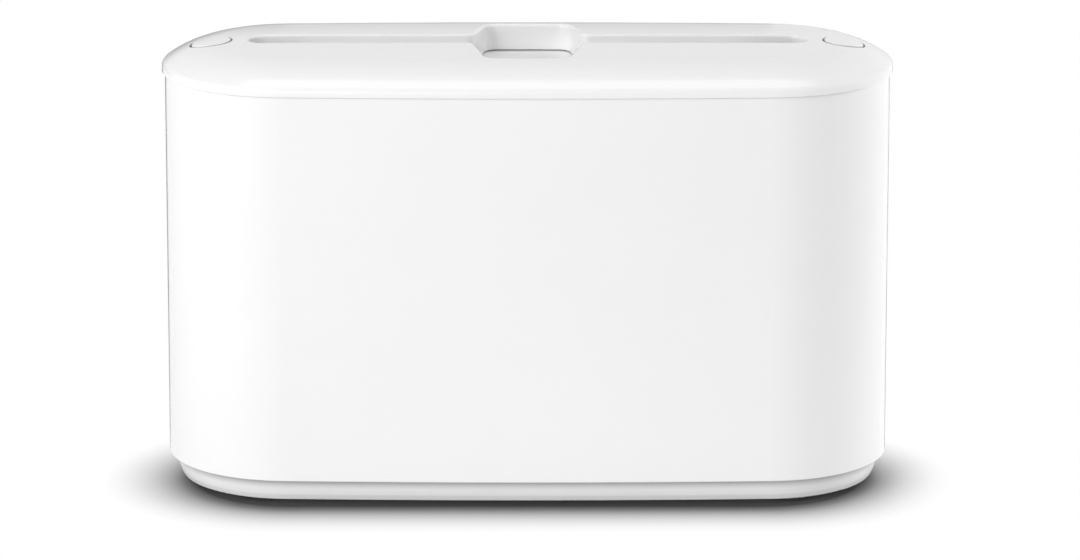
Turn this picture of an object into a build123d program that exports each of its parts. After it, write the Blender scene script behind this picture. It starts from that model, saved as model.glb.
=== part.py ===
"""Countertop dispenser for folded paper towels: an oval box with a lift-off latched lid.

Millimetres, +Z up. The origin is on the counter, under the middle of the box. The box is long in X,
and its front faces -Y. A sprung follower plate lifts the stack against the lid, where a finger opening
in a long slot lets the towels out. Each end of the lid has a push button that swings a latch pawl.
"""

import os
from math import asin, atan2, cos, degrees, radians, sin, sqrt

from build123d import *

# ---------------------------------------------------------------- driving dimensions

# Stack of folded towels, and the room round it
stack_length = 218.0
stack_depth = 90.0
end_room = 47.1
side_room = 7.6
side_bow = 2.3

# Rubber feet
foot_height = 2.0
foot_radius = 7.0
foot_recess = 1.0
foot_edge = 0.6
foot_circle = 38.0
foot_angle = 72.0

# Base tray
base_height = 10.0
base_gap = 1.0
base_wall = 2.2
base_floor = 2.5
base_tuck = 2.6
base_rim_lap = 5.7
base_edge_radius = 1.2
base_column_height = 15.5
base_column_head = 3.0
rod_socket_height = 10.0
locating_rib_height = 2.5
locating_rib_thickness = 1.6

# Body shell
shell_height = 174.0
shell_wall = 2.5
shell_edge_radius = 0.6
spacer_rib_thickness = 2.0
spacer_rib_pitch = 70.0
spacer_rib_count = 3
column_radius = 4.5
column_angle = 38.0
column_web = 2.0

# Thread-forming pan head screws
screw_radius = 1.45
screw_head_radius = 2.9
screw_head_height = 2.0
screw_head_edge = 0.8
screw_length = 8.0
screw_tip_room = 1.0

# Magazine liner
liner_wall = 1.6
liner_corner_radius = 4.0
glide_rib_width = 2.0
glide_rib_height = 0.8
glide_rib_pitch = 42.0
glide_rib_count = 5

# Deck frame
deck_drop = 14.0
deck_thickness = 2.5
deck_rim_height = 4.0
deck_rim_thickness = 1.6
rod_boss_radius = 6.0
rod_boss_height = 8.5
rod_cap = 1.5
catch_lap = 1.5
window_length = 11.5
window_width = 14.0

# Guide rods, bushes and lift springs
rod_radius = 3.0
rod_edge = 0.5
rod_offset = 11.4
bush_length = 12.0
bush_barrel_radius = 4.5
bush_flange_radius = 8.5
bush_flange_thickness = 1.0
lift_spring_radius = 7.0
lift_spring_wire = 1.0
lift_spring_turns = 6

# Follower plate
plate_gap = 0.45
plate_thickness = 2.0
plate_clearance = 2.0
plate_corner_radius = 4.0
plate_edge_radius = 1.0
skirt_wall = 1.6
plate_rib_thickness = 1.2
plate_rib_height = 6.0
plate_rib_pitch = 34.0
plate_rib_count = 5
arm_width = 12.0
arm_wall = 2.0
hub_radius = 7.5
follower_travel = 136.0

# Lid dome: from the crown outward a flat arc, a tighter roll and a small edge arc
dome_rise = 13.7
lid_overhang = 1.3
lid_wall = 2.4
crown_slope = 4.2
shoulder_slope = 37.0
roll_radius = 42.0
edge_radius = 2.5
lid_lip_depth = 4.0
lid_lip_thickness = 1.6
lid_rib_thickness = 1.4
lid_rib_depth = 10.0
lid_rib_pitch = 56.0
lid_rib_count = 4

# Dispensing slot and six-sided finger opening
slot_margin = 28.0
slot_width = 15.0
slot_lip_depth = 10.0
slot_lip_wall = 1.8
opening_side_reach = 26.0
opening_corner_reach = 18.0
opening_half_depth = 33.0
opening_corner_radius = 6.0
opening_throat_radius = 4.0
collar_depth = 12.8
collar_wall = 2.0
rim_radius = 1.2

# Release buttons
button_inset = 20.5
button_radius = 8.6
button_gap = 1.0
button_proud = 0.45
button_edge = 0.35
button_skirt_wall = 1.5
button_skirt_height = 3.6
button_flange_thickness = 1.2
button_flange_width = 1.9
button_travel = 2.5
button_overtravel = 1.0
guide_tube_wall = 1.6
stem_radius = 3.0
stem_neck_radius = 1.5
stem_collar = 1.5
button_spring_radius = 4.8
button_spring_wire = 0.7
button_spring_turns = 3

# Latch bracket, pawl and pin
tail_length = 10.3
pivot_rise = 8.5
pin_radius = 1.5
bracket_floor = 1.5
bracket_radius = 12.0
bracket_screw_offset = 17.0
bracket_tab_radius = 4.5
boss_radius = 4.0
ear_thickness = 2.0
ear_radius = 3.5
pawl_width = 10.0
pawl_hub_radius = 2.6
pawl_arm = 2.5
pawl_nose_height = 2.5
pawl_lead_in = 3.0
pawl_nose_reach = 8.0
tail_thickness = 1.6
tail_width = 8.0
tail_overrun = 2.6
fork_slot = 4.0

# Clearances
seat_gap = 0.3
side_gap = 0.6
slide_gap = 0.4
locating_gap = 0.2
screw_slack = 0.3
arm_slot_gap = 1.0
fit_gap = 0.05
press_gap = 0.02

# ---------------------------------------------------------------- derived sizes

liner_half_length = stack_length / 2 + liner_wall
liner_half_depth = stack_depth / 2 + liner_wall

# Oval outline of the body: two end arcs joined by two long, slightly bowed side arcs
body_half_length = liner_half_length + end_room + shell_wall
body_half_depth = liner_half_depth + side_room + shell_wall
end_radius = body_half_depth - side_bow
end_centre = body_half_length - end_radius
side_radius = (end_centre**2 + body_half_depth**2 - end_radius**2) / (2 * side_bow)
side_centre = side_radius - body_half_depth
join_angle = degrees(atan2(side_centre, end_centre))

# Base tray and shell
body_bottom = foot_height + base_height
body_top = body_bottom + shell_height
floor_top = foot_height + base_floor
base_inset = shell_wall + base_gap
base_bow_radius = (base_height**2 + base_tuck**2) / (2 * base_tuck)
base_rim_top = body_bottom + base_rim_lap
column_bottom = floor_top + base_column_height
column_circle = end_radius - base_inset - base_tuck - base_wall - column_radius
base_screw_seat = column_bottom - base_column_head

# Deck, rods and follower
deck_bottom = body_top - deck_drop
deck_top = deck_bottom + deck_thickness
deck_inset = shell_wall + seat_gap
rod_reach = liner_half_length + rod_offset
rod_top = deck_top + rod_boss_height - rod_cap
bush_top = deck_bottom - seat_gap
bush_bottom = bush_top - bush_length
hub_bottom = bush_bottom + bush_flange_thickness
plate_half_length = stack_length / 2 - plate_clearance
plate_half_depth = stack_depth / 2 - plate_clearance
arm_slot_bottom = hub_bottom - follower_travel - arm_slot_gap
arm_slot_width = arm_width + 2 * arm_slot_gap

# Lid
lid_bottom = body_top + seat_gap
crown_height = lid_bottom + dome_rise
lid_half_depth = body_half_depth + lid_overhang
slope = radians(crown_slope)
shoulder = radians(shoulder_slope)
crown_radius = (
    lid_half_depth - roll_radius * (sin(shoulder) - sin(slope)) - edge_radius * (1 - sin(shoulder))
) / sin(slope)
slot_length = stack_length + slot_margin
spine_gap = slot_width / 4
slot_lip_bottom = crown_height - slot_lip_depth
collar_bottom = crown_height - collar_depth
plate_top = collar_bottom - plate_gap

# Latch and button
button_reach = body_half_length - button_inset
pivot_reach = button_reach + tail_length
pivot_height = deck_top + pivot_rise
bracket_bottom = pivot_height + pawl_hub_radius + slide_gap
bracket_top = bracket_bottom + bracket_floor
button_flange_bottom = bracket_top + button_travel + button_overtravel
button_flange_top = button_flange_bottom + button_flange_thickness
button_underside = button_flange_bottom + button_skirt_height
guide_tube_radius = button_radius + button_gap
guide_tube_bottom = button_flange_top + seat_gap
pawl_swing = asin(button_travel / tail_length)
groove_half = tail_thickness / 2 + stem_radius * sin(pawl_swing) + seat_gap
nose_top = bush_top
nose_tip = pivot_reach - pawl_nose_reach
catch_edge = nose_tip + catch_lap


# ---------------------------------------------------------------- outline helpers

def outline_arcs():
    """Centre, radius, first angle and sweep of the four arcs, counter-clockwise from the right end."""
    end_sweep = 2 * join_angle
    side_sweep = 180 - end_sweep
    return [
        ((end_centre, 0), end_radius, -join_angle, end_sweep),
        ((0, -side_centre), side_radius, join_angle, side_sweep),
        ((-end_centre, 0), end_radius, 180 - join_angle, end_sweep),
        ((0, side_centre), side_radius, 180 + join_angle, side_sweep),
    ]


def oval(inset):
    """Flat face inside the body outline moved in by inset."""
    with BuildSketch() as face:
        with BuildLine():
            for centre, radius, first, sweep_angle in outline_arcs():
                CenterArc(centre, radius - inset, first, sweep_angle)
        make_face()
    return face.sketch


def ring_around(section):
    """Turn a wall section along the outline. In it, X = 0 is the body outline and Y is the height."""
    with BuildPart() as ring:
        for centre, radius, first, sweep_angle in outline_arcs():
            outward = Vector(cos(radians(first)), sin(radians(first)))
            start = Vector(*centre) + outward * radius
            with BuildSketch(Plane(start, x_dir=outward, z_dir=outward.cross(Vector(0, 0, 1)))):
                add(section)
            revolve(axis=Axis(centre, (0, 0, 1)), revolution_arc=sweep_angle)
    return ring.part


def wall_section(inset, thickness, bottom, top, edge=0.0):
    """Upright section whose outer face lies inset inside the body outline, its outer corners rounded."""
    with BuildSketch() as section:
        with Locations((-inset - thickness / 2, (bottom + top) / 2)):
            Rectangle(thickness, top - bottom)
        if edge:
            fillet(section.vertices().group_by(Axis.X)[-1], edge)
    return section.sketch


def end_locations(circle, angle):
    """Four places round the two end centres, the same in each quarter of the oval."""
    reach = end_centre + circle * cos(radians(angle))
    return GridLocations(2 * reach, 2 * circle * sin(radians(angle)), 2, 2)


def dome_arcs(rise):
    """Curve of the lid's outer face moved out by rise, from near the spine to the lid's edge."""
    first = degrees(asin((side_bow + spine_gap) / (crown_radius + rise)))
    crown_centre = Vector(-body_half_depth, crown_height - crown_radius)
    roll_centre = crown_centre + Vector(sin(slope), cos(slope)) * (crown_radius - roll_radius)
    edge_centre = roll_centre + Vector(sin(shoulder), cos(shoulder)) * (roll_radius - edge_radius)
    with BuildLine() as curve:
        CenterArc(crown_centre, crown_radius + rise, 90 - first, first - crown_slope)
        CenterArc(roll_centre, roll_radius + rise, 90 - crown_slope, crown_slope - shoulder_slope)
        if rise >= 0:
            CenterArc(edge_centre, edge_radius + rise, 90 - shoulder_slope, shoulder_slope - 90)
    return curve.line


def dome_wall():
    """The lid's curved skin with its upright edge."""
    outer = dome_arcs(0)
    inner = dome_arcs(-lid_wall)
    with BuildSketch() as section:
        with BuildLine():
            add(outer)
            Polyline(
                outer @ 1, (lid_overhang, lid_bottom), (lid_overhang - lid_wall, lid_bottom), inner @ 1
            )
            add(inner)
            Line(inner @ 0, outer @ 0)
        make_face()
    return ring_around(section.sketch)


def under_dome(rise, bottom):
    """Solid between a level and the lid's outer face moved out by rise."""
    curve = dome_arcs(rise)
    with BuildSketch() as section:
        with BuildLine():
            add(curve)
            Polyline(curve @ 1, ((curve @ 1).X, bottom), ((curve @ 0).X, bottom), curve @ 0)
        make_face()
    return ring_around(section.sketch)


# ---------------------------------------------------------------- housing

def make_base_tray():
    """Inset plinth whose side tucks under in a shallow bow, with columns, rod sockets and foot recesses."""
    bow_centre = (-base_inset - base_bow_radius, body_bottom)
    bow_sweep = -degrees(asin(base_height / base_bow_radius))
    with BuildSketch() as section:
        with BuildLine():
            outer = CenterArc(bow_centre, base_bow_radius, 0, bow_sweep)
            inner = CenterArc(bow_centre, base_bow_radius - base_wall, 0, bow_sweep)
            Polyline(outer @ 0, ((outer @ 0).X, base_rim_top), ((inner @ 0).X, base_rim_top), inner @ 0)
            Polyline(outer @ 1, ((inner @ 1).X, foot_height), inner @ 1)
        make_face()
        fillet(section.vertices().group_by(Axis.Y)[0].sort_by(Axis.X)[-1], base_edge_radius)
    with BuildPart() as base_tray:
        with BuildSketch(Plane.XY.offset(foot_height)):
            add(oval(base_inset + base_tuck + base_wall / 2))
        extrude(amount=base_floor)
        add(ring_around(section.sketch))
        with BuildSketch(Plane.XY.offset(floor_top)):
            with end_locations(column_circle, column_angle):
                Circle(column_radius)
        extrude(amount=base_column_height)
        with BuildSketch(Plane.XY.offset(floor_top)):
            with GridLocations(2 * rod_reach, 0, 2, 1):
                Circle(rod_boss_radius)
        extrude(amount=rod_socket_height)
        with BuildSketch(Plane.XY.offset(floor_top)):
            add(liner_frame())
        extrude(amount=locating_rib_height)
        with Locations(Plane.XY.offset(floor_top + rod_socket_height)):
            with GridLocations(2 * rod_reach, 0, 2, 1):
                Hole(rod_radius + press_gap, rod_socket_height)
        with Locations(Plane((0, 0, foot_height), z_dir=(0, 0, -1))):
            with end_locations(column_circle, column_angle):
                CounterBoreHole(
                    screw_radius + screw_slack,
                    screw_head_radius + screw_slack,
                    base_screw_seat - foot_height,
                )
            with end_locations(foot_circle, foot_angle):
                Hole(foot_radius + locating_gap, foot_recess)
    return base_tray.part


def liner_frame():
    """Outline of the rib that stands round the liner's foot and head."""
    length = 2 * (liner_half_length + locating_gap)
    depth = 2 * (liner_half_depth + locating_gap)
    rib = 2 * locating_rib_thickness
    with BuildSketch() as frame:
        RectangleRounded(length + rib, depth + rib, liner_corner_radius + locating_rib_thickness)
        RectangleRounded(length, depth, liner_corner_radius, mode=Mode.SUBTRACT)
    return frame.sketch


def make_body_shell():
    """Upright oval wall with four screw columns and the ribs that steady the liner."""
    web_length = end_radius - shell_wall / 2 - column_circle
    rib_start = liner_half_depth + locating_gap
    rib_length = body_half_depth - rib_start
    with BuildPart() as body_shell:
        with BuildSketch(Plane.XY.offset(column_bottom)):
            with Locations((end_centre, 0), Location((-end_centre, 0, 0), (0, 0, 180))):
                with PolarLocations(column_circle, 2, -column_angle, 2 * column_angle, endpoint=True):
                    Circle(column_radius)
                    Rectangle(web_length, column_web, align=(Align.MIN, Align.CENTER))
            add(oval(shell_wall / 2), mode=Mode.INTERSECT)
        extrude(amount=deck_bottom - column_bottom)
        with BuildSketch(Plane.XY.offset(column_bottom)):
            with GridLocations(spacer_rib_pitch, 2 * rib_start + rib_length, spacer_rib_count, 2):
                Rectangle(spacer_rib_thickness, rib_length)
            add(oval(shell_wall / 2), mode=Mode.INTERSECT)
        extrude(amount=deck_bottom - locating_rib_height - seat_gap - column_bottom)
        add(ring_around(wall_section(0, shell_wall, body_bottom, body_top, shell_edge_radius)))
        with Locations(Plane.XY.offset(deck_bottom)):
            with end_locations(column_circle, column_angle):
                Hole(screw_radius + press_gap, screw_length - deck_thickness + screw_tip_room)
        with Locations(Plane((0, 0, column_bottom), z_dir=(0, 0, -1))):
            with end_locations(column_circle, column_angle):
                Hole(screw_radius + press_gap, screw_length - base_column_head + screw_tip_room)
    return body_shell.part


def make_magazine_liner():
    """Open well for the stack, slotted at both ends for the follower's arms, with glide ribs inside."""
    height = deck_bottom - locating_gap - floor_top
    with BuildPart() as liner:
        with BuildSketch(Plane.XY.offset(floor_top)):
            RectangleRounded(2 * liner_half_length, 2 * liner_half_depth, liner_corner_radius)
        extrude(amount=height)
        with BuildSketch(Plane.XY.offset(floor_top + liner_wall)):
            RectangleRounded(stack_length, stack_depth, liner_corner_radius - liner_wall)
            with GridLocations(glide_rib_pitch, stack_depth - glide_rib_height, glide_rib_count, 2):
                Rectangle(glide_rib_width, glide_rib_height, mode=Mode.SUBTRACT)
        extrude(amount=height, mode=Mode.SUBTRACT)
        with BuildSketch(Plane.XY.offset(arm_slot_bottom)):
            Rectangle(2 * liner_half_length, arm_slot_width)
        extrude(amount=height, mode=Mode.SUBTRACT)
    return liner.part


def make_deck_frame():
    """Frame under the lid: rod bosses, latch windows, liner ribs and a rim that stiffens its edge."""
    window_centre = catch_edge + window_length / 2
    with BuildPart() as deck:
        with BuildSketch(Plane.XY.offset(deck_bottom)):
            add(oval(deck_inset + deck_rim_thickness / 2))
        extrude(amount=deck_thickness)
        rim_top = deck_top + deck_rim_height
        add(ring_around(wall_section(deck_inset, deck_rim_thickness, deck_bottom, rim_top)))
        with BuildSketch(Plane.XY.offset(deck_bottom - locating_rib_height)):
            add(liner_frame())
            Rectangle(2 * rod_reach, arm_slot_width, mode=Mode.SUBTRACT)
        extrude(amount=locating_rib_height)
        with BuildSketch(Plane.XY.offset(deck_top)):
            with GridLocations(2 * rod_reach, 0, 2, 1):
                Circle(rod_boss_radius)
        extrude(amount=rod_boss_height)
        with BuildSketch(Plane.XY.offset(deck_bottom)):
            RectangleRounded(stack_length, stack_depth, liner_corner_radius - liner_wall)
            with GridLocations(2 * window_centre, 0, 2, 1):
                Rectangle(window_length, window_width)
        extrude(amount=deck_thickness, mode=Mode.SUBTRACT)
        with Locations(Plane((0, 0, deck_bottom), z_dir=(0, 0, -1))):
            with GridLocations(2 * rod_reach, 0, 2, 1):
                Hole(rod_radius + press_gap, rod_top - deck_bottom)
        with Locations(Plane.XY.offset(deck_top)):
            with end_locations(column_circle, column_angle):
                Hole(screw_radius + screw_slack, deck_thickness)
    return deck.part


def make_guide_rod(reach):
    """Steel rod from the base socket to the deck boss."""
    with BuildPart() as rod:
        with BuildSketch(Plane.XY.offset(floor_top)):
            with Locations((reach, 0)):
                Circle(rod_radius)
        extrude(amount=rod_top - floor_top)
        chamfer(rod.edges().filter_by(GeomType.CIRCLE), rod_edge)
    return rod.part


def make_rubber_feet():
    """Four round feet, held in recesses of the base."""
    with BuildPart() as feet:
        with BuildSketch():
            with end_locations(foot_circle, foot_angle):
                Circle(foot_radius)
        extrude(amount=foot_height + foot_recess)
        chamfer(feet.edges().group_by(Axis.Z)[0], foot_edge)
    return feet.part


def make_screws(seat, points, up):
    """Screws whose heads rest against the seat level and whose shanks point up (1) or down (-1)."""
    with BuildPart() as screws:
        with BuildSketch(Plane((0, 0, seat), z_dir=(0, 0, up))):
            with points:
                Circle(screw_radius)
        extrude(amount=screw_length)
        with BuildSketch(Plane((0, 0, seat), z_dir=(0, 0, -up))):
            with points:
                Circle(screw_head_radius)
        extrude(amount=screw_head_height)
        chamfer(screws.edges().group_by(Axis.Z)[0 if up > 0 else -1], screw_head_edge)
    return screws.part


def make_spring(reach, bottom, top, radius, wire, turns):
    """Compression spring with a square wire, standing between two levels."""
    low = bottom + wire / 2 + press_gap
    height = top - bottom - wire - 2 * press_gap
    with BuildPart() as spring:
        with BuildLine(Plane((reach, 0, low))):
            coil = Helix(height / turns, height, radius)
        with BuildSketch(Plane(coil @ 0, x_dir=(1, 0, 0), z_dir=coil % 0)):
            Rectangle(wire, wire)
        sweep(path=coil, is_frenet=True)
    return spring.part


# ---------------------------------------------------------------- follower

def make_follower_plate():
    """Inverted tray that carries the stack, with ribs below and a hollow arm to a hub at each end."""
    depth_below = plate_top - hub_bottom
    arm_height = bush_top - hub_bottom
    with BuildPart() as follower:
        with BuildSketch(Plane.XY.offset(hub_bottom)):
            RectangleRounded(2 * plate_half_length, 2 * plate_half_depth, plate_corner_radius)
        extrude(amount=depth_below)
        fillet(follower.edges().group_by(Axis.Z)[-1], plate_edge_radius)
        with BuildSketch(Plane.XY.offset(hub_bottom)):
            RectangleRounded(
                2 * (plate_half_length - skirt_wall),
                2 * (plate_half_depth - skirt_wall),
                plate_corner_radius - skirt_wall,
            )
        extrude(amount=depth_below - plate_thickness, mode=Mode.SUBTRACT)
        with BuildSketch(Plane.XY.offset(plate_top - plate_thickness - plate_rib_height)):
            with GridLocations(plate_rib_pitch, 0, plate_rib_count, 1):
                Rectangle(plate_rib_thickness, 2 * plate_half_depth - skirt_wall)
            Rectangle(2 * plate_half_length - skirt_wall, plate_rib_thickness)
        extrude(amount=plate_rib_height)
        with BuildSketch(Plane.XY.offset(hub_bottom)):
            for side in (-1, 1):
                with Locations((side * (plate_half_length + rod_reach - skirt_wall) / 2, 0)):
                    Rectangle(rod_reach - plate_half_length + skirt_wall, arm_width)
                with Locations((side * rod_reach, 0)):
                    Circle(hub_radius)
        extrude(amount=arm_height)
        with BuildSketch(Plane.XY.offset(hub_bottom)):
            for side in (-1, 1):
                with Locations((side * (plate_half_length + rod_reach - hub_radius) / 2, 0)):
                    Rectangle(rod_reach - hub_radius - plate_half_length, arm_width - 2 * arm_wall)
        extrude(amount=arm_height - arm_wall, mode=Mode.SUBTRACT)
        with Locations(Plane.XY.offset(bush_top)):
            with GridLocations(2 * rod_reach, 0, 2, 1):
                Hole(bush_barrel_radius + press_gap, arm_height)
    return follower.part


def make_guide_bush(reach):
    """Bush of the follower, its flange also the spring's upper seat."""
    with BuildPart() as bush:
        with BuildSketch(Plane.XY.offset(bush_bottom)):
            with Locations((reach, 0)):
                Circle(bush_flange_radius)
        extrude(amount=bush_flange_thickness)
        with BuildSketch(Plane.XY.offset(hub_bottom)):
            with Locations((reach, 0)):
                Circle(bush_barrel_radius)
        extrude(amount=bush_length - bush_flange_thickness)
        with Locations((reach, 0, bush_top)):
            Hole(rod_radius + fit_gap, bush_length)
    return bush.part


# ---------------------------------------------------------------- lid

def finger_outline(grow):
    """Six-sided finger opening moved out by grow, its four front and rear corners rounded."""
    side, corner, depth = opening_side_reach, opening_corner_reach, opening_half_depth
    with BuildSketch() as outline:
        with BuildLine():
            Polyline(
                (side, 0), (corner, depth), (-corner, depth),
                (-side, 0), (-corner, -depth), (corner, -depth),
                close=True,
            )
        make_face()
        fillet(outline.vertices().filter_by(lambda v: abs(v.Y) > depth / 2), opening_corner_radius)
        if grow:
            offset(amount=grow, kind=Kind.INTERSECTION)
    return outline.sketch


def opening_outline():
    """Slot and finger opening as one outline, rounded where they meet."""
    with BuildSketch() as outline:
        add(finger_outline(0))
        SlotOverall(slot_length, slot_width)
        throat = outline.vertices().filter_by(
            lambda v: abs(v.X) < opening_side_reach and abs(v.Y) < slot_width
        )
        fillet(throat, opening_throat_radius)
    return outline.sketch


def make_lid_cover():
    """Domed lid. What hangs below it is drawn too tall, and trimmed inside the dome's skin."""
    opening = opening_outline()
    tall = dome_rise + lid_lip_depth
    lip_bottom = lid_bottom - lid_lip_depth
    with BuildPart() as lid:
        add(ring_around(wall_section(deck_inset, lid_lip_thickness, lip_bottom, crown_height)))
        with BuildSketch(Plane.XY.offset(lip_bottom)):
            Rectangle(slot_length, 2 * body_half_depth)
        extrude(amount=tall, mode=Mode.SUBTRACT)
        with BuildSketch(Plane.XY.offset(collar_bottom)):
            add(finger_outline(collar_wall))
        extrude(amount=tall)
        with BuildSketch(Plane.XY.offset(slot_lip_bottom)):
            SlotOverall(slot_length + 2 * slot_lip_wall, slot_width + 2 * slot_lip_wall)
        extrude(amount=tall)
        with BuildSketch(Plane.XY.offset(guide_tube_bottom)):
            with GridLocations(2 * button_reach, 0, 2, 1):
                Circle(guide_tube_radius + guide_tube_wall)
        extrude(amount=tall)
        with BuildSketch(Plane.XY.offset(bracket_top)):
            with GridLocations(2 * button_reach, 2 * bracket_screw_offset, 2, 2):
                Circle(boss_radius)
        extrude(amount=tall)
        with BuildSketch(Plane.XY.offset(crown_height - lid_rib_depth)):
            with GridLocations(lid_rib_pitch, 0, lid_rib_count, 1):
                Rectangle(lid_rib_thickness, 2 * body_half_depth)
            add(oval(deck_inset + lid_lip_thickness / 2), mode=Mode.INTERSECT)
        extrude(amount=tall)
        add(under_dome(-lid_wall / 2, lip_bottom), mode=Mode.INTERSECT)
        add(dome_wall())
        with BuildSketch(Plane.XY.offset(collar_bottom)):
            add(opening)
        extrude(amount=tall, mode=Mode.SUBTRACT)
        rim = opening.edges()
        tops = lid.edges().filter_by(lambda e: e.center().Z > dome_floor() and on_outline(e, rim))
        fillet(tops, rim_radius)
        with BuildSketch(Plane.XY.offset(guide_tube_bottom)):
            with GridLocations(2 * button_reach, 0, 2, 1):
                Circle(guide_tube_radius)
        extrude(amount=tall, mode=Mode.SUBTRACT)
        with Locations(Plane((0, 0, bracket_top), z_dir=(0, 0, -1))):
            with GridLocations(2 * button_reach, 2 * bracket_screw_offset, 2, 2):
                Hole(screw_radius + press_gap, screw_length - bracket_floor + screw_tip_room)
    return lid.part


def dome_floor():
    """Level just under the lid's outer face at the edge of the finger opening."""
    reach = opening_half_depth + rim_radius
    return crown_height - crown_radius + sqrt(crown_radius**2 - reach**2) - rim_radius / 2


def on_outline(edge, outline):
    """Whether an edge stands over one of the outline's edges."""
    middle = edge.position_at(0.5)
    return outline.sort_by_distance((middle.X, middle.Y, 0))[0].distance_to(
        Vertex(middle.X, middle.Y, 0)
    ) < press_gap


def make_latch_bracket():
    """Right-hand carrier under the lid: spring floor, two screw tabs and two ears for the pawl's pin."""
    ear_centre = pawl_width / 2 + side_gap + ear_thickness / 2
    with BuildPart() as bracket:
        with BuildSketch(Plane.XY.offset(bracket_bottom)):
            with Locations((button_reach, 0)):
                Circle(bracket_radius)
                with Locations((0, bracket_screw_offset), (0, -bracket_screw_offset)):
                    Circle(bracket_tab_radius)
            with Locations((pivot_reach, 0)):
                Rectangle(2 * ear_radius, 2 * ear_centre + ear_thickness)
            make_hull()
        extrude(amount=bracket_floor)
        for ear_side in (-ear_centre, ear_centre):
            with BuildSketch(Plane.XZ.offset(-ear_side)):
                with Locations((pivot_reach, pivot_height)):
                    Circle(ear_radius)
                    ear_drop = bracket_bottom - pivot_height
                    Rectangle(2 * ear_radius, ear_drop, align=(Align.CENTER, Align.MIN))
            extrude(amount=ear_thickness / 2, both=True)
        with Locations((button_reach, 0, bracket_top)):
            Hole(stem_radius + seat_gap, bracket_floor)
        with Locations((button_reach, bracket_screw_offset, bracket_top)):
            Hole(screw_radius + screw_slack, bracket_floor)
        with Locations((button_reach, -bracket_screw_offset, bracket_top)):
            Hole(screw_radius + screw_slack, bracket_floor)
        with Locations(Plane((pivot_reach, 0, pivot_height), z_dir=(0, -1, 0))):
            Hole(pin_radius + press_gap)
    return bracket.part


def make_pawl_pin():
    """Right-hand pin across the bracket's ears."""
    length = pawl_width + 2 * (side_gap + ear_thickness)
    with BuildPart() as pin:
        with BuildSketch(Plane.XZ):
            with Locations((pivot_reach, pivot_height)):
                Circle(pin_radius)
        extrude(amount=length / 2, both=True)
    return pin.part


def make_latch_pawl():
    """Right-hand pawl: hub, forked tail under the button, and an arm with a hook that faces inward."""
    arm_length = pivot_height - nose_top + pawl_nose_height
    back = pawl_arm / 2
    nose_floor = -arm_length
    with BuildPart() as pawl:
        with BuildSketch(Plane.XZ):
            with Locations((pivot_reach, pivot_height)):
                Circle(pawl_hub_radius)
                Rectangle(pawl_arm, arm_length, align=(Align.CENTER, Align.MAX))
                Polygon(
                    (back, nose_floor + pawl_nose_height),
                    (-pawl_nose_reach, nose_floor + pawl_nose_height),
                    (-pawl_nose_reach, nose_floor + pawl_nose_height / 2),
                    (-back, nose_floor - pawl_lead_in),
                    (back, nose_floor - pawl_lead_in),
                    align=None,
                )
        extrude(amount=pawl_width / 2, both=True)
        with BuildSketch(Plane.XZ):
            with Locations((pivot_reach, pivot_height)):
                Rectangle(tail_length + tail_overrun, tail_thickness, align=(Align.MAX, Align.CENTER))
        extrude(amount=tail_width / 2, both=True)
        with BuildSketch(Plane.XY.offset(pivot_height - tail_thickness)):
            with Locations((button_reach, 0)):
                Circle(fork_slot / 2)
                Rectangle(2 * tail_overrun, fork_slot, align=(Align.MAX, Align.CENTER))
        extrude(amount=2 * tail_thickness, mode=Mode.SUBTRACT)
        with Locations(Plane((pivot_reach, 0, pivot_height), z_dir=(0, -1, 0))):
            Hole(pin_radius + fit_gap)
    return pawl.part


def make_release_button():
    """Right-hand button: a cap cut to the dome, a flanged skirt and a grooved stem for the pawl's fork."""
    with BuildPart() as button:
        with BuildSketch(Plane.XY.offset(button_underside)):
            with Locations((button_reach, 0)):
                Circle(button_radius)
        extrude(amount=dome_rise)
        add(under_dome(button_proud, lid_bottom), mode=Mode.INTERSECT)
        chamfer(button.edges().group_by(Axis.Z)[-1], button_edge)
        with BuildSketch(Plane.XY.offset(button_flange_bottom)):
            with Locations((button_reach, 0)):
                Circle(button_radius)
                Circle(button_radius - button_skirt_wall, mode=Mode.SUBTRACT)
        extrude(amount=button_underside - button_flange_bottom)
        with BuildSketch(Plane.XY.offset(button_flange_bottom)):
            with Locations((button_reach, 0)):
                Circle(button_radius + button_flange_width)
                Circle(button_radius - button_skirt_wall, mode=Mode.SUBTRACT)
        extrude(amount=button_flange_thickness)
        for radius, bottom, top in (
            (stem_radius, pivot_height + groove_half, button_underside),
            (stem_neck_radius, pivot_height - groove_half, pivot_height + groove_half),
            (stem_radius, pivot_height - groove_half - stem_collar, pivot_height - groove_half),
        ):
            with BuildSketch(Plane.XY.offset(bottom)):
                with Locations((button_reach, 0)):
                    Circle(radius)
            extrude(amount=top - bottom)
    return button.part


# ---------------------------------------------------------------- assembly

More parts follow.
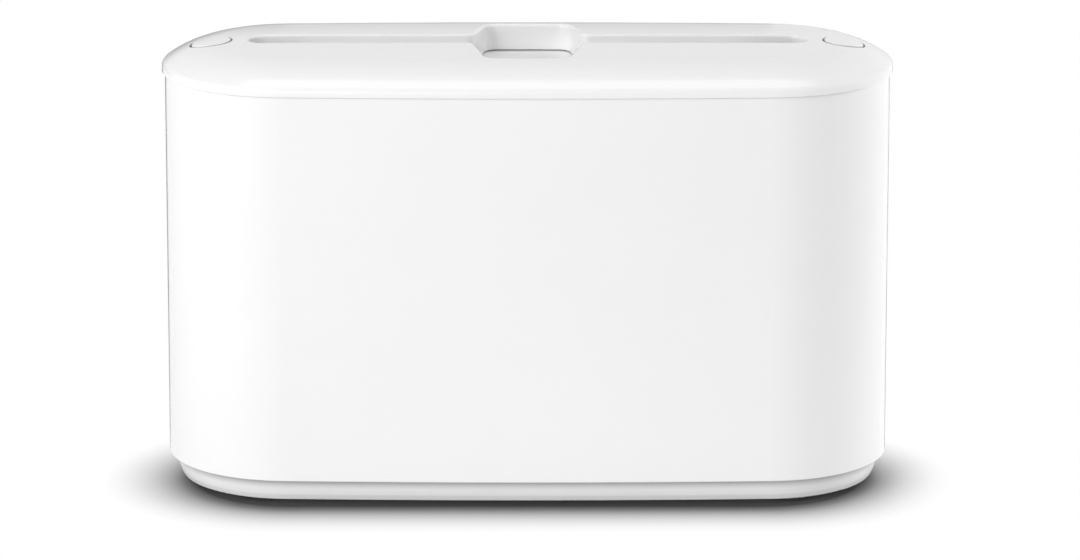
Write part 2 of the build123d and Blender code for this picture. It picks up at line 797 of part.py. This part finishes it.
def build_all():
    """Every sub-part by name."""
    columns = end_locations(column_circle, column_angle)
    tabs = GridLocations(2 * button_reach, 2 * bracket_screw_offset, 2, 2)
    pieces = {
        "base_tray": make_base_tray(),
        "body_shell": make_body_shell(),
        "magazine_liner": make_magazine_liner(),
        "deck_frame": make_deck_frame(),
        "rubber_feet": make_rubber_feet(),
        "base_screws": make_screws(base_screw_seat, columns, 1),
        "deck_screws": make_screws(deck_top, columns, -1),
        "latch_screws": make_screws(bracket_bottom, tabs, 1),
        "follower_plate": make_follower_plate(),
        "lid_cover": make_lid_cover(),
    }
    for name, side in {"left": -1, "right": 1}.items():
        reach = side * rod_reach
        pieces[f"guide_rod_{name}"] = make_guide_rod(reach)
        pieces[f"guide_bush_{name}"] = make_guide_bush(reach)
        pieces[f"lift_spring_{name}"] = make_spring(
            reach, floor_top, bush_bottom, lift_spring_radius, lift_spring_wire, lift_spring_turns
        )
        pieces[f"button_spring_{name}"] = make_spring(
            side * button_reach, bracket_top, button_underside,
            button_spring_radius, button_spring_wire, button_spring_turns,
        )
    for name, make in {
        "latch_bracket": make_latch_bracket,
        "pawl_pin": make_pawl_pin,
        "latch_pawl": make_latch_pawl,
        "release_button": make_release_button,
    }.items():
        right = make()
        pieces[f"{name}_right"] = right
        pieces[f"{name}_left"] = right.mirror(Plane.YZ)
    return pieces


os.makedirs("parts", exist_ok=True)
for piece_name, piece in build_all().items():
    piece.label = piece_name
    export_step(piece, f"parts/{piece_name}.step")
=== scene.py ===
"""Visual model of the countertop towel dispenser: finishes, fine meshes, stage, lamps and camera.

Metres, in the frame of the CAD model: +Z up, the front faces -Y, and the origin is on the counter.
"""

from math import cos, radians, sin, tau

import bpy
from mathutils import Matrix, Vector


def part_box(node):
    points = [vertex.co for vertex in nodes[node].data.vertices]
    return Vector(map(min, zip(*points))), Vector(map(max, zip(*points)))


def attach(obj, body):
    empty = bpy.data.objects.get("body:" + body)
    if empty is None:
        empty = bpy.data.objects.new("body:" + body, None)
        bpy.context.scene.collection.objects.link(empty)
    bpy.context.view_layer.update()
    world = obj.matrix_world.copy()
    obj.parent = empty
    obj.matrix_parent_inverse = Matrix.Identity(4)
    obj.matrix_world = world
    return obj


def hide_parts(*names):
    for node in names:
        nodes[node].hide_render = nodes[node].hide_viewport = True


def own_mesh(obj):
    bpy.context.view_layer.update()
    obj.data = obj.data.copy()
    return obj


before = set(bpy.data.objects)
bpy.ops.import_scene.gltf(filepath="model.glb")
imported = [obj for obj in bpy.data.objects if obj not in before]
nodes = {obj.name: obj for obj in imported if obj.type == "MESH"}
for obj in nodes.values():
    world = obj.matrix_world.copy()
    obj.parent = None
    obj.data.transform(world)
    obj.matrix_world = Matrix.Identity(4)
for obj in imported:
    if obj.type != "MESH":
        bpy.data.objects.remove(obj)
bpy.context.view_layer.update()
scene = bpy.context.scene

# ---------------------------------------------------------------- camera

IMAGE_WIDTH = 1080
FOCAL_PIXELS = 6802.8
CENTRE_OFFSET_PIXELS = 12.6
SENSOR = 36.0
CAMERA_DISTANCE = 2.9289
CAMERA_HEIGHT = 0.8727
CAMERA_PITCH = 14.972
NEAR_CLIP = 0.1
FAR_CLIP = 60.0


def place_camera():
    """Camera in front of the object, looking down at it."""
    data = bpy.data.cameras.new("camera")
    data.sensor_width = SENSOR
    data.lens = FOCAL_PIXELS / IMAGE_WIDTH * SENSOR
    data.shift_x = CENTRE_OFFSET_PIXELS / IMAGE_WIDTH
    data.clip_start = NEAR_CLIP
    data.clip_end = FAR_CLIP
    camera = bpy.data.objects.new("camera", data)
    camera.location = (0.0, -CAMERA_DISTANCE, CAMERA_HEIGHT)
    camera.rotation_euler = (radians(90.0 - CAMERA_PITCH), 0.0, 0.0)
    scene.collection.objects.link(camera)
    scene.camera = camera


place_camera()

# ---------------------------------------------------------------- node helpers


def new_material(name):
    material = bpy.data.materials.new(name)
    material.use_nodes = True
    tree = material.node_tree
    tree.nodes.clear()
    output = tree.nodes.new("ShaderNodeOutputMaterial")
    return material, tree, output


def add(tree, kind, **settings):
    node = tree.nodes.new(kind)
    for key, value in settings.items():
        setattr(node, key, value)
    return node


def link(tree, source, target):
    tree.links.new(source, target)


def object_place(tree):
    """Place of a point in the object's own frame."""
    return add(tree, "ShaderNodeTexCoord").outputs["Object"]


def split_place(tree, place):
    """Outputs X, Y and Z of a place."""
    node = add(tree, "ShaderNodeSeparateXYZ")
    link(tree, place, node.inputs["Vector"])
    return node.outputs


def noise(tree, place, scale, detail=2.0, roughness=0.5):
    node = add(tree, "ShaderNodeTexNoise")
    node.inputs["Scale"].default_value = scale
    node.inputs["Detail"].default_value = detail
    node.inputs["Roughness"].default_value = roughness
    link(tree, place, node.inputs["Vector"])
    return node.outputs["Fac"]


def remap(tree, value, low, high, start=0.0, end=1.0):
    """Low where the value is at start or before it, high where it is at end or past it."""
    node = add(tree, "ShaderNodeMapRange")
    node.inputs["From Min"].default_value = start
    node.inputs["From Max"].default_value = end
    node.inputs["To Min"].default_value = low
    node.inputs["To Max"].default_value = high
    link(tree, value, node.inputs["Value"])
    return node.outputs["Result"]


def maths(tree, operation, first, second):
    """Two values, or a value and a number, through one maths node."""
    node = add(tree, "ShaderNodeMath", operation=operation)
    for i, value in enumerate((first, second)):
        if isinstance(value, float):
            node.inputs[i].default_value = value
        else:
            link(tree, value, node.inputs[i])
    return node.outputs[0]


def colour_between(tree, factor, first, second):
    node = add(tree, "ShaderNodeMix", data_type="RGBA")
    link(tree, factor, node.inputs["Factor"])
    node.inputs["A"].default_value = (*first, 1.0)
    node.inputs["B"].default_value = (*second, 1.0)
    return node.outputs["Result"]


def scaled(tree, colour, share):
    node = add(tree, "ShaderNodeVectorMath", operation="SCALE")
    link(tree, colour, node.inputs["Vector"])
    link(tree, share, node.inputs["Scale"])
    return node.outputs["Vector"]


def bumps(tree, height, strength, distance, normal=None):
    node = add(tree, "ShaderNodeBump")
    node.inputs["Strength"].default_value = strength
    node.inputs["Distance"].default_value = distance
    link(tree, height, node.inputs["Height"])
    if normal is not None:
        link(tree, normal, node.inputs["Normal"])
    return node.outputs["Normal"]


def emission(tree, strength):
    """White light of one strength."""
    node = add(tree, "ShaderNodeEmission")
    node.inputs["Color"].default_value = (1.0, 1.0, 1.0, 1.0)
    node.inputs["Strength"].default_value = strength
    return node.outputs["Emission"]


def mixed(tree, share, first, second):
    """First shader where the share is 0, second where it is 1."""
    node = add(tree, "ShaderNodeMixShader")
    link(tree, share, node.inputs["Fac"])
    link(tree, first, node.inputs[1])
    link(tree, second, node.inputs[2])
    return node.outputs["Shader"]


def clear(tree):
    return add(tree, "ShaderNodeBsdfTransparent").outputs["BSDF"]


def camera_or_reflection(tree):
    rays = add(tree, "ShaderNodeLightPath")
    return maths(tree, "MAXIMUM", rays.outputs["Is Camera Ray"], rays.outputs["Is Glossy Ray"])


# ---------------------------------------------------------------- finishes

MIDDLE = (0.3, 0.7)
OCCLUSION_SAMPLES = 12
CLEAR_SHARE = 0.86
CLEAR_BLEND = 1.6
DRIFT_SCALE = 9.0
GLOSS_SCALE = 34.0
WAVE_SCALE = 60.0
WAVE_STRENGTH = 0.12
WAVE_HEIGHT = 0.00008
GRAIN_HEIGHT = 0.00005


def open_share(tree, reach):
    """Share of the directions that are open within reach of a point."""
    node = add(tree, "ShaderNodeAmbientOcclusion", samples=OCCLUSION_SAMPLES)
    node.inputs["Distance"].default_value = reach
    return node.outputs["AO"]


def painted_crevice_shade(tree, colour, place, crevice, clear_below):
    """Colour with painted shade: darker where other surfaces close in and shade would fall.

    crevice is the distance, the power and the least share of the colour. Up to the height clear_below
    it has little effect, so that the counter hardly counts as one of those surfaces.
    """
    reach, sharpness, least = crevice
    near = maths(tree, "POWER", open_share(tree, reach), sharpness)
    if clear_below:
        height = split_place(tree, place)["Z"]
        spared = remap(tree, height, CLEAR_SHARE, 0.0, clear_below, CLEAR_BLEND * clear_below)
        near = maths(tree, "MAXIMUM", near, spared)
    return scaled(tree, colour, remap(tree, near, least, 1.0))


def painted_recess_light(tree, colour, recess):
    """Colour with painted light: a lift on a hollow's walls that stands in for the scattered light they
    would get.

    recess is the distance, the open share at which the lift is full, the open share at which it
    starts, and the lift.
    """
    reach, full, start, lift = recess
    return scaled(tree, colour, remap(tree, open_share(tree, reach), 1.0 + lift, 1.0, full, start))


def moulded_plastic(name, pale, deep, rough, grain_scale, grain, ior=1.49, crevice=None, clear_below=None,
                    recess=None):
    """Moulded plastic: slow colour drift, uneven gloss, and the fine texture of the mould's steel, and where
    asked, painted shade in crevices and painted light in recesses.
    """
    material, tree, output = new_material(name)
    shader = add(tree, "ShaderNodeBsdfPrincipled")
    shader.inputs["IOR"].default_value = ior
    place = object_place(tree)
    drift = noise(tree, place, DRIFT_SCALE, 3.0, 0.55)
    colour = colour_between(tree, remap(tree, drift, 0.0, 1.0, *MIDDLE), deep, pale)
    # painted shade in crevices
    if crevice:
        colour = painted_crevice_shade(tree, colour, place, crevice, clear_below)
    # painted light in recesses
    if recess:
        colour = painted_recess_light(tree, colour, recess)
    link(tree, colour, shader.inputs["Base Color"])
    gloss = noise(tree, place, GLOSS_SCALE, 4.0, 0.6)
    link(tree, remap(tree, gloss, *rough, *MIDDLE), shader.inputs["Roughness"])
    wave = bumps(tree, noise(tree, place, WAVE_SCALE, 1.0, 0.4), WAVE_STRENGTH, WAVE_HEIGHT)
    speck = noise(tree, place, grain_scale, 2.0, 0.6)
    link(tree, bumps(tree, speck, grain, GRAIN_HEIGHT, wave), shader.inputs["Normal"])
    link(tree, shader.outputs["BSDF"], output.inputs["Surface"])
    return material


STAIN_SCALE = 120.0
STAIN_SHARE = 0.86
LINE_SCALE = 900.0
LINE_STRENGTH = 0.15
LINE_HEIGHT = 0.00003


def drawn_steel(name, colour, rough, stretch=(1.0, 1.0, 1.0)):
    """Drawn or ground steel: fine lines along the work, with small stains in the gloss."""
    material, tree, output = new_material(name)
    shader = add(tree, "ShaderNodeBsdfPrincipled")
    shader.inputs["Metallic"].default_value = 1.0
    place = object_place(tree)
    mapping = add(tree, "ShaderNodeMapping")
    mapping.inputs["Scale"].default_value = stretch
    link(tree, place, mapping.inputs["Vector"])
    lines = noise(tree, mapping.outputs["Vector"], LINE_SCALE, 3.0, 0.6)
    stained = tuple(STAIN_SHARE * c for c in colour)
    stains = remap(tree, noise(tree, place, STAIN_SCALE), 0.0, 1.0, *MIDDLE)
    link(tree, colour_between(tree, stains, stained, colour), shader.inputs["Base Color"])
    link(tree, remap(tree, lines, *rough, *MIDDLE), shader.inputs["Roughness"])
    link(tree, bumps(tree, lines, LINE_STRENGTH, LINE_HEIGHT), shader.inputs["Normal"])
    link(tree, shader.outputs["BSDF"], output.inputs["Surface"])
    return material


GLOSSY_PALE = (0.885, 0.885, 0.888)
GLOSSY_DEEP = (0.872, 0.872, 0.876)
GLOSSY_ROUGH = (0.10, 0.16)
GLOSSY_GRAIN_SCALE = 2600.0
GLOSSY_GRAIN = 0.06

# Shell and lid: painted shade in narrow gaps such as the seam, and painted light on the walls of the slot
# and the finger pocket.
shell_white = moulded_plastic("shell_white", GLOSSY_PALE, GLOSSY_DEEP, GLOSSY_ROUGH, GLOSSY_GRAIN_SCALE,
                              GLOSSY_GRAIN, crevice=(0.0015, 1.0, 0.85), recess=(0.022, 0.42, 0.68, 0.13))
# Buttons: the shell's white with stronger painted shade in the gap round each button.
button_white = moulded_plastic("button_white", GLOSSY_PALE, GLOSSY_DEEP, GLOSSY_ROUGH, GLOSSY_GRAIN_SCALE,
                               GLOSSY_GRAIN, crevice=(0.0015, 1.0, 0.3))
plate_white = moulded_plastic("plate_white", (0.83, 0.83, 0.833), (0.815, 0.815, 0.819), (0.16, 0.24),
                              2200.0, 0.08)
# Base: painted shade under the shell's bottom edge, spared near the counter.
base_white = moulded_plastic("base_white", (0.81, 0.81, 0.812), (0.79, 0.79, 0.792), (0.28, 0.38),
                             1800.0, 0.18, crevice=(0.005, 2.2, 0.1), clear_below=0.0048)
inner_plastic = moulded_plastic("inner_plastic", (0.76, 0.765, 0.77), (0.735, 0.74, 0.745), (0.34, 0.46),
                                1500.0, 0.22)
acetal = moulded_plastic("acetal", (0.82, 0.82, 0.80), (0.79, 0.79, 0.77), (0.22, 0.32), 2200.0, 0.1)
steel_rod = drawn_steel("steel_rod", (0.62, 0.62, 0.63), (0.16, 0.26), stretch=(1.0, 1.0, 0.04))
spring_wire = drawn_steel("spring_wire", (0.50, 0.50, 0.51), (0.25, 0.38))
screw_steel = drawn_steel("screw_steel", (0.58, 0.57, 0.55), (0.24, 0.36))
foot_rubber = moulded_plastic("foot_rubber", (0.070, 0.070, 0.072), (0.045, 0.045, 0.047), (0.62, 0.80),
                              1200.0, 0.5, ior=1.5)


def sided(*names):
    """Names of the left and the right piece of each pair."""
    return [f"{name}_{side}" for name in names for side in ("left", "right")]


FINISHES = (
    (shell_white, ["body_shell", "lid_cover"]),
    (button_white, sided("release_button")),
    (plate_white, ["follower_plate"]),
    (base_white, ["base_tray"]),
    (inner_plastic, ["magazine_liner", "deck_frame"] + sided("latch_bracket")),
    (acetal, sided("guide_bush", "latch_pawl")),
    (steel_rod, sided("guide_rod", "pawl_pin")),
    (spring_wire, sided("lift_spring", "button_spring")),
    (screw_steel, ["base_screws", "deck_screws", "latch_screws"]),
    (foot_rubber, ["rubber_feet"]),
)
for finish, node_names in FINISHES:
    for node_name in node_names:
        slots = nodes[node_name].material_slots
        for index in range(len(slots)):
            slots[index].material = finish

# ---------------------------------------------------------------- fine meshes


def piece_from_rows(name, tubes, material):
    """Mesh piece made of tubes: lists of rows of points that join into closed rings, capped at both ends."""
    points, faces = [], []
    for rows in tubes:
        first, around = len(points), len(rows[0])
        for row in rows:
            points.extend(row)
        for i in range(len(rows) - 1):
            a = first + i * around
            for j in range(around):
                k = (j + 1) % around
                faces.append((a + j, a + k, a + around + k, a + around + j))
        last = first + (len(rows) - 1) * around
        faces.append(tuple(first + j for j in reversed(range(around))))
        faces.append(tuple(last + j for j in range(around)))
    mesh = bpy.data.meshes.new(name)
    mesh.from_pydata(points, [], faces)
    mesh.polygons.foreach_set("use_smooth", [True] * len(faces))
    mesh.materials.append(material)
    piece = bpy.data.objects.new(name, mesh)
    scene.collection.objects.link(piece)
    return piece


WIRE_SIDES = 12
STEPS_PER_TURN = 28
CLOSED_TURNS = 1.0
LIFT_WIRE = 0.001
LIFT_TURNS = 12
BUTTON_WIRE = 0.0007
BUTTON_TURNS = 5


def coil_rows(x, y, low, high, radius, wire, turns):
    """Rings along a compression spring between two levels, its end turns closed on themselves."""
    start, end = low + wire / 2, high - wire / 2
    shut = CLOSED_TURNS * wire
    free = turns - 2 * CLOSED_TURNS
    rows = []
    for i in range(int(turns * STEPS_PER_TURN) + 1):
        turn = i / STEPS_PER_TURN
        if turn < CLOSED_TURNS:
            z = start + turn * wire
        elif turn > turns - CLOSED_TURNS:
            z = end - (turns - turn) * wire
        else:
            z = start + shut + (end - start - 2 * shut) * (turn - CLOSED_TURNS) / free
        out = Vector((cos(tau * turn), sin(tau * turn), 0.0))
        centre = Vector((x, y, z)) + out * radius
        angles = [tau * j / WIRE_SIDES for j in range(WIRE_SIDES)]
        rows.append([centre + (out * cos(a) + Vector((0.0, 0.0, sin(a)))) * wire / 2 for a in angles])
    return rows


def spring(node, body, wire, turns):
    """Round-wire spring in the place of a CAD spring."""
    (left, front, low), (right, back, high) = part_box(node)
    x, y = (left + right) / 2, (front + back) / 2
    radius = (right - left - wire) / 2
    piece = piece_from_rows(f"{node}_coil", [coil_rows(x, y, low, high, radius, wire, turns)], spring_wire)
    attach(piece, body)
    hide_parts(node)
    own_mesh(piece)


for side in ("left", "right"):
    spring(f"lift_spring_{side}", "housing", LIFT_WIRE, LIFT_TURNS)
    spring(f"button_spring_{side}", "lid", BUTTON_WIRE, BUTTON_TURNS)

SCREW_SIDES = 36
HEAD_RADIUS = 0.0029
HEAD_HEIGHT = 0.0020
HEAD_EDGE = 0.0001
DOME_SHARES = (0.52, 0.68, 0.82, 0.92, 0.98, 1.0)
DOME_RIM = 0.3
DOME_POWER = 3.2
SHANK_RADIUS = 0.00145
THREAD_PITCH = 0.0011
THREAD_DEPTH = 0.00028
THREAD_STEPS = 5
RIDGE_SLOPE = 4.0
TIP_SHARE = 0.6
LOBES = 6
LOBE_RADIUS = 0.00115
LOBE_DEPTH = 0.00016
SOCKET_DEPTH = 0.0013
SOCKET_EDGE = 0.0002
SOCKET_BOTTOM_SHARE = 0.82
SOCKET_MOUTH_SHARE = 1.08


def screw_rows(x, y, seat, up, length):
    """Rings of a thread-forming screw: socket, domed head and threaded shank.

    up is 1 where the shank points up from the seat, and -1 where it points down.
    """
    def ring(z, radius_at):
        points = []
        for j in range(SCREW_SIDES):
            a = tau * j / SCREW_SIDES
            points.append(Vector((x + radius_at(a) * cos(a), y + up * radius_at(a) * sin(a), seat + up * z)))
        return points

    def lobed(share):
        return lambda a: share * (LOBE_RADIUS + LOBE_DEPTH * cos(LOBES * a))

    def plain(radius):
        return lambda a: radius

    def threaded(z):
        taper = min(1.0, (length - z) / THREAD_PITCH)
        core = SHANK_RADIUS * (TIP_SHARE + (1.0 - TIP_SHARE) * taper)

        def radius_at(a):
            phase = (z / THREAD_PITCH - a / tau) % 1.0
            ridge = max(0.0, 1.0 - abs(phase - 0.5) * RIDGE_SLOPE)
            return core - THREAD_DEPTH * (1.0 - ridge)

        return radius_at

    rows = [
        ring(SOCKET_DEPTH - HEAD_HEIGHT, lobed(SOCKET_BOTTOM_SHARE)),
        ring(SOCKET_EDGE - HEAD_HEIGHT, lobed(1.0)),
        ring(-HEAD_HEIGHT, lobed(SOCKET_MOUTH_SHARE)),
    ]
    for share in DOME_SHARES:
        dome = HEAD_HEIGHT * (DOME_RIM + (1.0 - DOME_RIM) * (1 - share ** DOME_POWER) ** 0.5)
        rows.append(ring(-dome, plain(HEAD_RADIUS * share)))
    rows.append(ring(-HEAD_EDGE, plain(HEAD_RADIUS)))
    rows.append(ring(0.0, plain(HEAD_RADIUS - HEAD_EDGE)))
    steps = int(length / THREAD_PITCH * THREAD_STEPS)
    for i in range(steps + 1):
        z = length * i / steps
        rows.append(ring(z, threaded(z)))
    return rows


def screws(node, body, up):
    """Four screws in the place of a CAD node of four, read from its box."""
    low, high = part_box(node)
    seat = low[2] + HEAD_HEIGHT if up > 0 else high[2] - HEAD_HEIGHT
    length = high[2] - low[2] - HEAD_HEIGHT
    x, y = high[0] - HEAD_RADIUS, high[1] - HEAD_RADIUS
    tubes = [screw_rows(sx * x, sy * y, seat, up, length) for sx in (-1, 1) for sy in (-1, 1)]
    piece = piece_from_rows(f"{node}_threaded", tubes, screw_steel)
    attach(piece, body)
    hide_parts(node)


screws("base_screws", "housing", 1)
screws("deck_screws", "housing", -1)
screws("latch_screws", "lid", 1)

# ---------------------------------------------------------------- floor

FLOOR_HALF = 14.0
FLOOR_PALE = (0.90, 0.90, 0.90)
# Colour of the painted contact shadow next to the object
FLOOR_PAINTED_SHADOW = (0.07, 0.07, 0.07)

# Oval that the painted contact shadow follows, and the distances outside it at which the painted shadow
# starts and ends
SHADE_HALF = 0.1047
SHADE_RADIUS = 0.0544
SHADE_FORWARD = 0.009
SHADE_FROM = -0.011
SHADE_TO = 0.027
SHADE_POWER = 0.82

# Distances outside the oval over which the floor turns to the background's white
FADE_FROM = -0.0065
FADE_TO = 0.0304
FADE_POWER = 1.1
FADE_LEAST = 0.011

# Light on the underside from where the object covers the floor
UNDER_LIGHT = 0.28


def past_oval(tree):
    """Distance outside the oval of the painted contact shadow, less than 0 inside it."""
    place = split_place(tree, object_place(tree))
    along = maths(tree, "SUBTRACT", maths(tree, "ABSOLUTE", place["X"], 0.0), SHADE_HALF)
    offset = add(tree, "ShaderNodeCombineXYZ")
    link(tree, maths(tree, "MAXIMUM", along, 0.0), offset.inputs["X"])
    link(tree, maths(tree, "ADD", place["Y"], SHADE_FORWARD), offset.inputs["Y"])
    reach = add(tree, "ShaderNodeVectorMath", operation="LENGTH")
    link(tree, offset.outputs["Vector"], reach.inputs[0])
    return maths(tree, "SUBTRACT", reach.outputs["Value"], SHADE_RADIUS)


def floor_material():
    """White floor. A contact shadow is painted into its colour along the base's oval, and beyond it the
    floor turns to plain white.

    Both are for the camera and for reflections: other rays meet a plain white floor, so its light on the
    object stays even. From below the floor is clear, and where the object covers it, it lights the
    underside, so that it neither hides nor blackens the base.
    """
    material, tree, output = new_material("floor")
    past = past_oval(tree)
    seen = camera_or_reflection(tree)
    unseen = maths(tree, "SUBTRACT", 1.0, seen)
    # painted contact shadow, for the camera and reflections only
    shade = maths(tree, "POWER", remap(tree, past, 0.0, 1.0, SHADE_FROM, SHADE_TO), SHADE_POWER)
    matt = add(tree, "ShaderNodeBsdfDiffuse")
    pale = maths(tree, "MAXIMUM", shade, unseen)
    link(tree, colour_between(tree, pale, FLOOR_PAINTED_SHADOW, FLOOR_PALE), matt.inputs["Color"])
    fade = maths(tree, "POWER", remap(tree, past, 0.0, 1.0, FADE_FROM, FADE_TO), FADE_POWER)
    background = maths(tree, "MULTIPLY", maths(tree, "MAXIMUM", fade, FADE_LEAST), seen)
    covered = remap(tree, past, UNDER_LIGHT, 0.0, 2 * SHADE_FROM, SHADE_FROM)
    lit = maths(tree, "MAXIMUM", maths(tree, "MULTIPLY", covered, unseen), background)
    above = mixed(tree, lit, matt.outputs["BSDF"], emission(tree, 1.0))
    from_below = add(tree, "ShaderNodeNewGeometry").outputs["Backfacing"]
    link(tree, mixed(tree, from_below, above, clear(tree)), output.inputs["Surface"])
    return material


def place_floor():
    corners = [(FLOOR_HALF * x, FLOOR_HALF * y, 0.0) for x, y in ((-1, -1), (1, -1), (1, 1), (-1, 1))]
    mesh = bpy.data.meshes.new("floor")
    mesh.from_pydata(corners, [], [(0, 1, 2, 3)])
    mesh.materials.append(floor_material())
    floor = bpy.data.objects.new("floor", mesh)
    scene.collection.objects.link(floor)


place_floor()

# ---------------------------------------------------------------- cards

# Upright cards stand on an arc round the object and fade out between two heights
CARD_RADIUS = 1.6
CARD_STEPS = 12
CARD_FADE_LOW = 0.28
CARD_FADE_HIGH = 0.55

# The card on the floor starts behind the object and widens to the arc
FLOOR_CARD_LEVEL = 0.02
FLOOR_CARD_HEIGHT = 0.002
FLOOR_CARD_START = 0.02
FLOOR_CARD_LEFT = -0.162
FLOOR_CARD_RIGHT = 0.165
FLOOR_CARD_SPREAD_LEFT = 0.36
FLOOR_CARD_SPREAD_RIGHT = 0.26


def card_material(name, level):
    """Grey light that fades out between the cards' two heights."""
    material, tree, output = new_material(name)
    height = split_place(tree, object_place(tree))["Z"]
    gone = remap(tree, height, 0.0, 1.0, CARD_FADE_LOW, CARD_FADE_HIGH)
    link(tree, mixed(tree, gone, emission(tree, level), clear(tree)), output.inputs["Surface"])
    return material


def card(name, corners, level):
    """Grey card, seen only in reflections, that draws the pale object's edges against the white background.

    Its corners come in pairs, and each pair after the first adds a face.
    """
    faces = [(i, i + 1, i + 3, i + 2) for i in range(0, len(corners) - 2, 2)]
    mesh = bpy.data.meshes.new(name)
    mesh.from_pydata(corners, [], faces)
    mesh.materials.append(card_material(name, level))
    piece = bpy.data.objects.new(name, mesh)
    scene.collection.objects.link(piece)
    piece.visible_camera = False
    piece.visible_diffuse = False
    piece.visible_shadow = False


def floor_card():
    far_left = FLOOR_CARD_LEFT - FLOOR_CARD_SPREAD_LEFT * CARD_RADIUS
    far_right = FLOOR_CARD_RIGHT + FLOOR_CARD_SPREAD_RIGHT * CARD_RADIUS
    card("card_floor", [
        (FLOOR_CARD_LEFT, FLOOR_CARD_START, FLOOR_CARD_HEIGHT),
        (FLOOR_CARD_RIGHT, FLOOR_CARD_START, FLOOR_CARD_HEIGHT),
        (far_left, CARD_RADIUS, FLOOR_CARD_HEIGHT),
        (far_right, CARD_RADIUS, FLOOR_CARD_HEIGHT),
    ], FLOOR_CARD_LEVEL)


def upright_card(name, first, last, level):
    """Upright card on the arc. Its angles are from +Y, positive to the right."""
    corners = []
    for i in range(CARD_STEPS + 1):
        angle = radians(first + (last - first) * i / CARD_STEPS)
        foot = (CARD_RADIUS * sin(angle), CARD_RADIUS * cos(angle))
        corners += [(*foot, 0.0), (*foot, CARD_FADE_HIGH)]
    card(name, corners, level)


floor_card()
upright_card("card_back_left", -60, -6, 0.30)
upright_card("card_back", -6, 6, 0.52)
upright_card("card_back_right", 6, 25, 0.85)

# ---------------------------------------------------------------- world and lamps

SKY_LEVEL = 0.31
AIM_BODY = (0.0, 0.0, 0.1)
AIM_SIDE = (0.0, 0.0, 0.15)
AIM_LID = (0.0, 0.0, 0.2)


def light_world():
    """White to the camera, in reflections and through clear parts, and dimmer as a light."""
    world = bpy.data.worlds.new("studio")
    scene.world = world
    world.use_nodes = True
    tree = world.node_tree
    tree.nodes.clear()
    output = add(tree, "ShaderNodeOutputWorld")
    back = add(tree, "ShaderNodeBackground")
    back.inputs["Color"].default_value = (1.0, 1.0, 1.0, 1.0)
    through = add(tree, "ShaderNodeLightPath").outputs["Is Transmission Ray"]
    seen = maths(tree, "MAXIMUM", camera_or_reflection(tree), through)
    link(tree, remap(tree, seen, SKY_LEVEL, 1.0), back.inputs["Strength"])
    link(tree, back.outputs["Background"], output.inputs["Surface"])


def softbox(name, place, aim, width, height, power, mirrored=True):
    """Rectangular lamp that faces a point, hidden from the camera and, unless mirrored, from reflections."""
    data = bpy.data.lights.new(name, "AREA")
    data.shape = "RECTANGLE"
    data.size = width
    data.size_y = height
    data.energy = power
    lamp = bpy.data.objects.new(name, data)
    lamp.location = place
    lamp.rotation_euler = (Vector(aim) - Vector(place)).to_track_quat("-Z", "Y").to_euler()
    lamp.visible_camera = False
    lamp.visible_glossy = mirrored
    scene.collection.objects.link(lamp)


light_world()
softbox("key", (-1.3, -1.6, 1.0), AIM_BODY, 1.2, 1.2, 16.3)
softbox("key_wide", (-1.3, -1.6, 1.2), AIM_BODY, 2.8, 2.4, 10.6)
softbox("top_left", (-1.0, -0.9, 1.6), AIM_LID, 1.2, 1.0, 3.0)
softbox("top_wide", (0.0, 0.0, 2.0), AIM_LID, 2.6, 2.0, 2.0)
softbox("top", (0.0, 0.1, 1.3), AIM_LID, 1.0, 0.35, 1.9)
softbox("front_low", (-0.6, -2.2, 0.12), AIM_BODY, 1.2, 0.2, 5.2)
softbox("left", (-1.9, -0.3, 0.7), AIM_BODY, 1.0, 1.2, 1.0)
softbox("left_low", (-1.6, 0.5, 0.2), AIM_BODY, 0.6, 0.35, 1.5)
softbox("right", (1.8, 0.1, 1.2), AIM_SIDE, 0.8, 0.8, 9.6, mirrored=False)
softbox("right_low", (1.6, 0.7, 0.2), AIM_BODY, 0.6, 0.35, 13.2, mirrored=False)

scene.view_settings.view_transform = "Standard"
